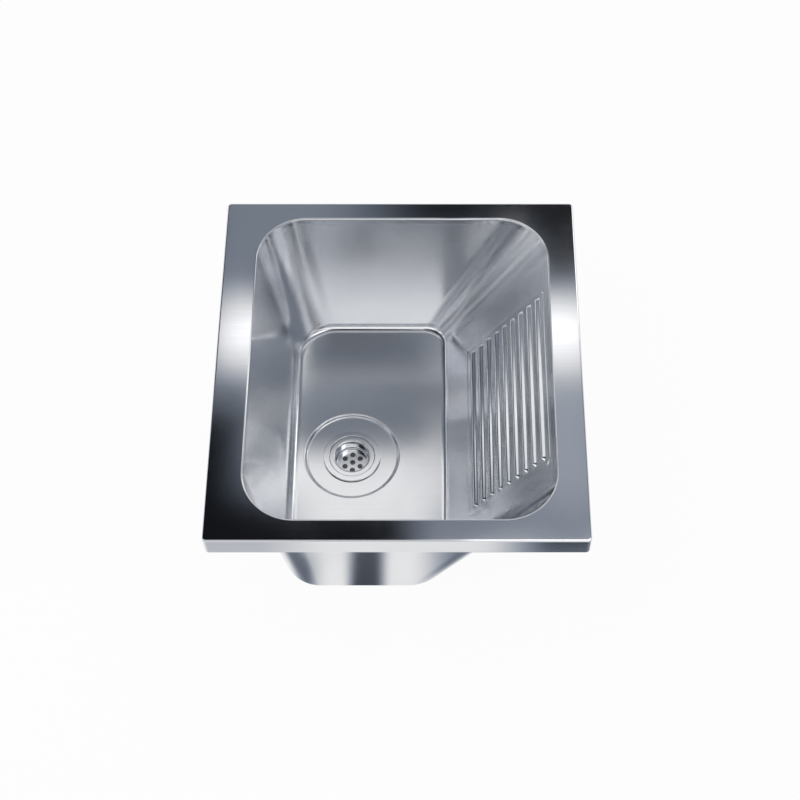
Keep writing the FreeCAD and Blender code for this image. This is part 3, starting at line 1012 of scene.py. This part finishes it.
def new_group(name, inputs, outputs):
    """Empty node group with named sockets, and its two ends."""
    group = bpy.data.node_groups.new(name, "ShaderNodeTree")
    for socket, kind, default in inputs:
        made = group.interface.new_socket(socket, in_out="INPUT", socket_type=kind)
        if default is not None:
            made.default_value = default
    for socket in outputs:
        group.interface.new_socket(socket, in_out="OUTPUT", socket_type="NodeSocketFloat")
    return group, group.nodes.new("NodeGroupInput"), group.nodes.new("NodeGroupOutput")


def polishing_lines():
    """Group: fine lines of the polishing belt, along X, or along Y on faces that look left or right."""
    inputs = (("Vector", "NodeSocketVector", None), ("Fineness", "NodeSocketFloat", 1.0))
    tree, start, end = new_group("polishing_lines", inputs, ("Lines", "Height"))
    normal = add_node(tree, "ShaderNodeNewGeometry").outputs["Normal"]
    facing = calc(tree, "ABSOLUTE", add_node(tree, "ShaderNodeSeparateXYZ", {"Vector": normal}).outputs["X"])
    along_y = spread(tree, facing, 0.45, 0.8, 0.0, 1.0)
    along, across = 8.0, 1400.0
    layers = []
    for size in ((along, across, across), (across, along, across)):
        place = add_node(tree, "ShaderNodeMapping", {"Vector": start.outputs["Vector"], "Scale": size})
        fineness = start.outputs["Fineness"]
        layers.append(noise(tree, place.outputs["Vector"], fineness, Detail=3.0, Roughness=0.6))
    height = mix_value(tree, along_y, *layers)
    tree.links.new(spread(tree, height, 0.32, 0.68, 0.0, 1.0), end.inputs["Lines"])
    tree.links.new(height, end.inputs["Height"])


def turning_lines():
    """Group: fine rings left by turning or spinning about an upright axis."""
    inputs = (("Vector", "NodeSocketVector", None), ("Fineness", "NodeSocketFloat", 1.0))
    tree, start, end = new_group("turning_lines", inputs, ("Lines", "Height"))
    apart = add_node(tree, "ShaderNodeSeparateXYZ", {"Vector": start.outputs["Vector"]})
    x, y, z = (apart.outputs[axis] for axis in "XYZ")
    radius = calc(tree, "SQRT", calc(tree, "ADD", calc(tree, "MULTIPLY", x, x), calc(tree, "MULTIPLY", y, y)))
    across, round_axis = 900.0, 0.6
    place = add_node(tree, "ShaderNodeCombineXYZ", {
        "X": calc(tree, "MULTIPLY", radius, across),
        "Y": calc(tree, "MULTIPLY", z, across),
        "Z": calc(tree, "MULTIPLY", calc(tree, "ARCTAN2", y, x), round_axis),
    })
    fine = noise(tree, place.outputs["Vector"], start.outputs["Fineness"], Detail=2.0, Roughness=0.55)
    tree.links.new(spread(tree, fine, 0.3, 0.7, 0.0, 1.0), end.inputs["Lines"])
    tree.links.new(fine, end.inputs["Height"])


def handling_marks():
    """Group: cloudy patches left by hands and wiping, and fine specks."""
    inputs = (("Vector", "NodeSocketVector", None), ("Size", "NodeSocketFloat", 12.0))
    tree, start, end = new_group("handling_marks", inputs, ("Marks", "Specks"))
    place, size = start.outputs["Vector"], start.outputs["Size"]
    speck_size = calc(tree, "MULTIPLY", size, 40.0)
    cloud = noise(tree, place, size, Detail=4.0, Distortion=0.6)
    speck = noise(tree, place, speck_size, Detail=2.0)
    tree.links.new(spread(tree, cloud, 0.35, 0.7, 0.0, 1.0), end.inputs["Marks"])
    tree.links.new(spread(tree, speck, 0.45, 0.75, 0.0, 1.0), end.inputs["Specks"])


def new_material(name):
    """Material with an empty tree, its shader and its object coordinates."""
    material = bpy.data.materials.new(name)
    material.use_nodes = True
    tree = material.node_tree
    tree.nodes.clear()
    shader = tree.nodes.new("ShaderNodeBsdfPrincipled")
    output = tree.nodes.new("ShaderNodeOutputMaterial")
    tree.links.new(shader.outputs[0], output.inputs["Surface"])
    place = tree.nodes.new("ShaderNodeTexCoord").outputs["Object"]
    return tree, shader, place


def use_group(tree, name, **inputs):
    """Place a shared node group in a material with its own values."""
    return add_node(tree, "ShaderNodeGroup", inputs, node_tree=bpy.data.node_groups[name]).outputs


def set_bump(tree, shader, height, strength, distance):
    """Raise the surface of a shader by a height."""
    bump = add_node(tree, "ShaderNodeBump", {"Height": height, "Strength": strength, "Distance": distance})
    tree.links.new(bump.outputs[0], shader.inputs["Normal"])


def steel(name, light, dark, group, rough, spreading, bump, fineness=1.0, centre=(0, 0, 0)):
    """Stainless steel with the lines of its finish and faint marks from use."""
    tree, shader, place = new_material(name)
    shader.inputs["Metallic"].default_value = 1.0
    shift = add_node(tree, "ShaderNodeMapping", {"Vector": place, "Location": [-value for value in centre]})
    lines = use_group(tree, group, Vector=shift.outputs["Vector"], Fineness=fineness)
    marks = use_group(tree, "handling_marks", Vector=place, Size=9.0)
    line_tone, mark_tone, line_dull, mark_dull, bump_height = 0.45, 0.2, 0.4, 0.6, 0.0001
    from_marks = calc(tree, "MULTIPLY", marks["Marks"], mark_tone)
    tone = calc(tree, "MULTIPLY_ADD", lines["Lines"], line_tone, from_marks)
    tree.links.new(mix_colour(tree, tone, (*light, 1), (*dark, 1)), shader.inputs["Base Color"])
    from_lines = calc(tree, "MULTIPLY", lines["Lines"], line_dull)
    dull = calc(tree, "MULTIPLY_ADD", marks["Marks"], mark_dull, from_lines)
    tree.links.new(spread(tree, dull, 0.0, 1.0, rough, rough + spreading), shader.inputs["Roughness"])
    set_bump(tree, shader, lines["Height"], bump, bump_height)
    return tree, shader, place


class SINK_OT_finishes(bpy.types.Operator):
    """Make the materials of all pieces"""

    bl_idname = "sink.finishes"
    bl_label = "Finishes"

    def execute(self, context):
        scene = context.scene
        tint = scene.sink_colours
        polishing_lines()
        turning_lines()
        handling_marks()
        x, y = drain_axis(scene.sink_deck, scene.sink_bowl)
        axis = (x, y, 0)
        light, dark = tint.steel, tint.steel_dark
        sheet = "polishing_lines"
        turned = "turning_lines"
        # The bowl and the washboard take the steel painted lighter than the deck's, a painted light against
        # the shade inside the bowl
        bowl = (tint.bowl, tint.bowl_dark)
        steel("polished_deck_steel", light, dark, sheet, rough=0.10, spreading=0.05, bump=0.04)
        steel("satin_bowl_steel", *bowl, sheet, rough=0.17, spreading=0.05, bump=0.02)
        steel("satin_board_steel", *bowl, sheet, rough=0.14, spreading=0.05, bump=0.03)
        steel("turned_waste_steel", light, dark, turned, rough=0.12, spreading=0.06, bump=0.05, centre=axis)
        steel("spun_strainer_steel", light, dark, turned, rough=0.13, spreading=0.06, bump=0.05, centre=axis)
        self.zinc(tint)
        self.brass(tint, axis)
        self.rubber("moulded_seal_rubber", tint.rubber, 0.62)
        self.pad(tint)
        self.plastic(tint)
        return {"FINISHED"}

    def zinc(self, tint):
        """Zinc plating with its frosted patches."""
        tree, shader, place = steel(
            "zinc_plating", tint.zinc, tint.steel_dark, "polishing_lines",
            rough=0.30, spreading=0.12, bump=0.05, fineness=0.6)
        patches = add_node(tree, "ShaderNodeTexVoronoi", {"Vector": place, "Scale": 260.0})
        grey = mix_colour(tree, patches.outputs["Color"], (*tint.zinc, 1), (0.50, 0.53, 0.57, 1))
        tree.links.new(grey, shader.inputs["Base Color"])

    def brass(self, tint, axis):
        """Turned brass, tarnished in patches."""
        tree, shader, place = steel(
            "turned_brass", tint.brass, tint.brass_dark, "turning_lines",
            rough=0.24, spreading=0.16, bump=0.08, fineness=0.7, centre=axis)
        marks = use_group(tree, "handling_marks", Vector=place, Size=38.0)
        brown = mix_colour(tree, marks["Marks"], (*tint.brass, 1), (*tint.brass_dark, 1))
        tree.links.new(brown, shader.inputs["Base Color"])

    def rubber(self, name, tint, rough):
        """Moulded rubber with a fine grain."""
        tree, shader, place = new_material(name)
        marks = use_group(tree, "handling_marks", Vector=place, Size=30.0)
        pale = [value * 2.4 for value in tint]
        tree.links.new(mix_colour(tree, marks["Marks"], (*tint, 1), (*pale, 1)), shader.inputs["Base Color"])
        tree.links.new(spread(tree, marks["Marks"], 0.0, 1.0, rough, rough + 0.2), shader.inputs["Roughness"])
        set_bump(tree, shader, marks["Specks"], 0.3, 0.0002)
        return tree, shader, place

    def pad(self, tint):
        """Damping pad with a pressed diamond grid."""
        tree, shader, place = self.rubber("pressed_pad_rubber", tint.pad, 0.7)
        turned = add_node(tree, "ShaderNodeMapping", {"Vector": place, "Rotation": (0, 0, math.radians(45))})
        waves = []
        for direction in "XY":
            wave = add_node(
                tree, "ShaderNodeTexWave", {"Vector": turned.outputs["Vector"], "Scale": 50.0},
                bands_direction=direction)
            waves.append(wave.outputs["Fac"])
        set_bump(tree, shader, calc(tree, "MULTIPLY", *waves), 0.6, 0.0008)

    def plastic(self, tint):
        """Slip washer of moulded plastic with cloudy marks and fine specks."""
        tree, shader, place = new_material("moulded_washer_plastic")
        marks = use_group(tree, "handling_marks", Vector=place, Size=40.0)
        shade = [value * 0.86 for value in tint.plastic]
        tree.links.new(
            mix_colour(tree, marks["Marks"], (*tint.plastic, 1), (*shade, 1)), shader.inputs["Base Color"])
        tree.links.new(spread(tree, marks["Specks"], 0.0, 1.0, 0.38, 0.5), shader.inputs["Roughness"])
        set_bump(tree, shader, marks["Specks"], 0.15, 0.0001)


def looked_at(tree):
    """One for rays from the camera, from reflections and through clear things, else nought, as a link."""
    path = tree.nodes.new("ShaderNodeLightPath").outputs
    seen = calc(tree, "MAXIMUM", path["Is Camera Ray"], path["Is Glossy Ray"])
    return calc(tree, "MAXIMUM", seen, path["Is Transmission Ray"])


# Gaps from the part's lowest point down to the card on the ground and to the floor
CARD_GAP = 0.0003
FLOOR_GAP = 0.0005
# Light and dark panels on the cards that only reflections see.
# Each row has the left, right, low and high edges, the softness of the edges and the brightness.
CEILING_PANELS = (
    (-1.60, 1.60, -1.60, -0.08, 0.03, 0.70),
    (0.10, 0.60, -0.75, -0.09, 0.02, 2.20),
    (-1.60, 1.60, 0.80, 1.60, 0.05, 1.30),
    (0.20, 0.34, 0.00, 0.30, 0.08, 0.50),
    (-0.33, 0.34, 0.28, 0.395, 0.07, 1.75),
    (-0.23, 0.06, 0.06, 0.36, 0.05, 1.05),
    (-0.90, -0.25, -0.25, 0.205, 0.07, 0.01),
    (-0.90, 0.02, -0.70, 0.02, 0.04, 0.01),
    (-0.06, 0.35, 0.50, 0.75, 0.12, 0.01),
    (0.17, 0.215, 0.40, 0.54, 0.01, 1.60),
    (0.24, 0.35, 0.46, 0.75, 0.04, 0.01),
    (0.37, 0.80, 0.38, 0.70, 0.02, 2.20),
    (-1.60, -0.34, 0.25, 0.80, 0.03, 0.08),
    (0.06, 0.10, 0.30, 0.45, 0.01, 0.01),
)
FRONT_PANELS = (
    (-1.00, 0.12, 0.08, 1.00, 0.04, 1.30),
    (0.09, 0.45, 0.05, 0.175, 0.02, 1.50),
)
GROUND_PANELS = (
    (-0.32, -0.13, -0.32, -0.22, 0.03, 0.20),
    (-0.075, -0.025, -0.36, -0.22, 0.012, 0.09),
    (0.05, 0.40, -0.36, -0.22, 0.04, 0.25),
    (-0.50, -0.16, -0.50, -0.36, 0.06, 0.65),
    (0.17, 0.60, -0.50, -0.36, 0.06, 0.08),
)


class SINK_OT_stage(bpy.types.Operator):
    """Set up the camera, the floor and the studio light"""

    bl_idname = "sink.stage"
    bl_label = "Stage"

    def execute(self, context):
        scene = context.scene
        studio = scene.sink_studio
        bpy.ops.object.select_all(action="DESELECT")
        bpy.ops.object.camera_add(location=studio.camera, rotation=(studio.pitch, 0, 0))
        camera = context.active_object
        camera.data.lens = studio.lens
        camera.data.sensor_width = 36.0
        camera.data.shift_x = studio.shift
        camera.data.clip_end = 50.0
        scene.camera = camera
        scene.view_settings.view_transform = "Standard"
        self.floor(scene)
        ground = cad_box[0][2] - CARD_GAP
        self.card("studio_ceiling", (-1.5, 1.5, -1.5, 1.5), (0, 0, 0.485), 0.32, CEILING_PANELS)
        self.card(
            "studio_flag", (-0.26, 0.10, 0.08, 0.27), (0, 0, 0.10), 0.22,
            fade=(-0.20, 0.045, 0.145, 0.225, 0.035))
        self.card(
            "studio_front", (-0.6, 0.6, 0.045, 0.45), (0, -0.30, 0), 0.05, FRONT_PANELS,
            upright=True)
        self.card("studio_ground", (-0.6, 0.6, -0.46, -0.20), (0, 0, ground), 1.0, GROUND_PANELS)
        self.world(scene)
        lamp_place, aim = Vector((-0.9, -0.5, 1.9)), Vector((0, 0, -0.1))
        bpy.ops.object.light_add(type="AREA", location=lamp_place)
        lamp = context.active_object
        lamp.data.shape = "DISK"
        lamp.data.size = 1.4
        lamp.data.energy = studio.lamp
        lamp.rotation_euler = (lamp_place - aim).to_track_quat("Z", "Y").to_euler()
        lamp.visible_glossy = False
        return {"FINISHED"}

    def floor(self, scene):
        """Floor that looks nearly white, directly and in reflections, with a faint shadow of the sink."""
        level = cad_box[0][2] - FLOOR_GAP
        bpy.ops.mesh.primitive_plane_add(size=14.0, location=(0, 0, level))
        floor = bpy.context.active_object
        floor.name = "studio_floor"
        tree, shader, place = new_material("studio_floor")
        shader.inputs["Base Color"].default_value = (0.86, 0.86, 0.86, 1)
        shader.inputs["Roughness"].default_value = 0.9
        # Painted shade: the floor does not glow under the outlet, so that the drain looks dark
        x, y = drain_axis(scene.sink_deck, scene.sink_bowl)
        away = add_node(tree, "ShaderNodeVectorMath", {0: place, 1: (x, y, 0)}, operation="DISTANCE")
        outside_painted_drain_shade = calc(tree, "GREATER_THAN", away.outputs["Value"], scene.sink_waste.outlet)
        glow = add_node(tree, "ShaderNodeEmission", {"Color": (1, 1, 1, 1), "Strength": 1.0})
        full_glow = 0.94
        glowing = calc(tree, "MULTIPLY", calc(tree, "MULTIPLY", looked_at(tree), outside_painted_drain_shade), full_glow)
        mixed = add_node(
            tree, "ShaderNodeMixShader", {0: glowing, 1: shader.outputs[0], 2: glow.outputs[0]})
        output = next(node for node in tree.nodes if node.type == "OUTPUT_MATERIAL")
        tree.links.new(mixed.outputs[0], output.inputs["Surface"])
        floor.data.materials.append(bpy.data.materials["studio_floor"])

    def card(self, name, edges, place, base, panels=(), upright=False, fade=None):
        """Card with soft panels that only reflections see. An upright card is seen only from its back."""
        left, right, low, high = edges
        card = begin(name, bpy.ops.mesh.primitive_plane_add, size=1.0)
        bpy.ops.transform.resize(value=(right - left, high - low, 1), center_override=(0, 0, 0))
        bpy.ops.transform.translate(value=((left + right) / 2, (low + high) / 2, 0))
        bpy.ops.object.mode_set(mode="OBJECT")
        card.location = place
        if upright:
            card.rotation_euler.x = math.radians(90)
        material = bpy.data.materials.new(name)
        material.use_nodes = True
        tree = material.node_tree
        tree.nodes.clear()
        spot = tree.nodes.new("ShaderNodeTexCoord").outputs["Object"]
        apart = add_node(tree, "ShaderNodeSeparateXYZ", {"Vector": spot}).outputs

        def mask(left, right, low, high, soft):
            part = 1.0
            for axis, first, last in (("X", left, right), ("Y", low, high)):
                begins = spread(tree, apart[axis], first - soft, first + soft, 0.0, 1.0)
                ends = spread(tree, apart[axis], last - soft, last + soft, 1.0, 0.0)
                part = calc(tree, "MULTIPLY", calc(tree, "MULTIPLY", part, begins), ends)
            return part

        level = base
        for *sides, tone in panels:
            level = mix_value(tree, mask(*sides), level, tone)
        cool, warm = (0.70, 0.81, 1.0, 1), (1.03, 1.015, 1.0, 1)
        tint = mix_colour(tree, spread(tree, level, 0.1, 1.0, 0.0, 1.0), cool, warm)
        glow = add_node(tree, "ShaderNodeEmission", {"Color": tint, "Strength": level}).outputs[0]
        shown = mask(*fade) if fade else 1.0
        if upright:
            shown = tree.nodes.new("ShaderNodeNewGeometry").outputs["Backfacing"]
        clear = tree.nodes.new("ShaderNodeBsdfTransparent").outputs[0]
        glow = add_node(tree, "ShaderNodeMixShader", {0: shown, 1: clear, 2: glow}).outputs[0]
        output = tree.nodes.new("ShaderNodeOutputMaterial")
        tree.links.new(glow, output.inputs["Surface"])
        card.data.materials.append(material)
        for ray in ("camera", "diffuse", "transmission", "volume_scatter", "shadow"):
            setattr(card, "visible_" + ray, False)

    def world(self, scene):
        """Even studio surroundings, white behind the object and in its reflections."""
        world = bpy.data.worlds.new("studio")
        scene.world = world
        world.use_nodes = True
        tree = world.node_tree
        tree.nodes.clear()
        ambient = scene.sink_studio.ambient
        level = calc(tree, "MULTIPLY_ADD", looked_at(tree), 1.0 - ambient, ambient)
        back = add_node(tree, "ShaderNodeBackground", {"Color": (1, 1, 1, 1), "Strength": level})
        output = tree.nodes.new("ShaderNodeOutputWorld")
        tree.links.new(back.outputs[0], output.inputs["Surface"])


class SINK_PT_panel(bpy.types.Panel):
    """Steps that build the sink"""

    bl_label = "Laundry sink"
    bl_idname = "SINK_PT_panel"
    bl_space_type = "VIEW_3D"
    bl_region_type = "UI"
    bl_category = "Sink"

    def draw(self, context):
        for step in STEPS:
            self.layout.operator(step.bl_idname)
        for name in GROUPS:
            box = self.layout.box()
            group = getattr(context.scene, name)
            for key in group.bl_rna.properties.keys():
                if key not in ("rna_type", "name"):
                    box.prop(group, key)


GROUPS = {
    "sink_deck": SinkDeckSizes,
    "sink_bowl": SinkBowlSizes,
    "sink_board": SinkBoardSizes,
    "sink_waste": SinkWasteSizes,
    "sink_colours": SinkColours,
    "sink_studio": SinkStudio,
}
STEPS = (
    SINK_OT_finishes,
    SINK_OT_deck,
    SINK_OT_bowl,
    SINK_OT_washboard,
    SINK_OT_waste,
    SINK_OT_strainer,
    SINK_OT_seals,
    SINK_OT_backnut,
    SINK_OT_pad,
    SINK_OT_clips,
    SINK_OT_stage,
)


def register():
    """Register the property groups, the operators and the panel."""
    for name, group in GROUPS.items():
        bpy.utils.register_class(group)
        setattr(bpy.types.Scene, name, PointerProperty(type=group))
    for step in STEPS:
        bpy.utils.register_class(step)
    bpy.utils.register_class(SINK_PT_panel)


def unregister():
    """Remove the panel, the operators and the property groups."""
    bpy.utils.unregister_class(SINK_PT_panel)
    for step in reversed(STEPS):
        bpy.utils.unregister_class(step)
    for name, group in reversed(GROUPS.items()):
        delattr(bpy.types.Scene, name)
        bpy.utils.unregister_class(group)


def main():
    """Build the sink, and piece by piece."""
    register()
    bpy.ops.sink.finishes()
    bpy.ops.sink.deck()
    bpy.ops.sink.bowl()
    bpy.ops.sink.washboard()
    bpy.ops.sink.waste()
    bpy.ops.sink.strainer()
    bpy.ops.sink.seals()
    bpy.ops.sink.backnut()
    bpy.ops.sink.pad()
    bpy.ops.sink.clips()
    bpy.ops.sink.stage()


if __name__ == "__main__":
    main()
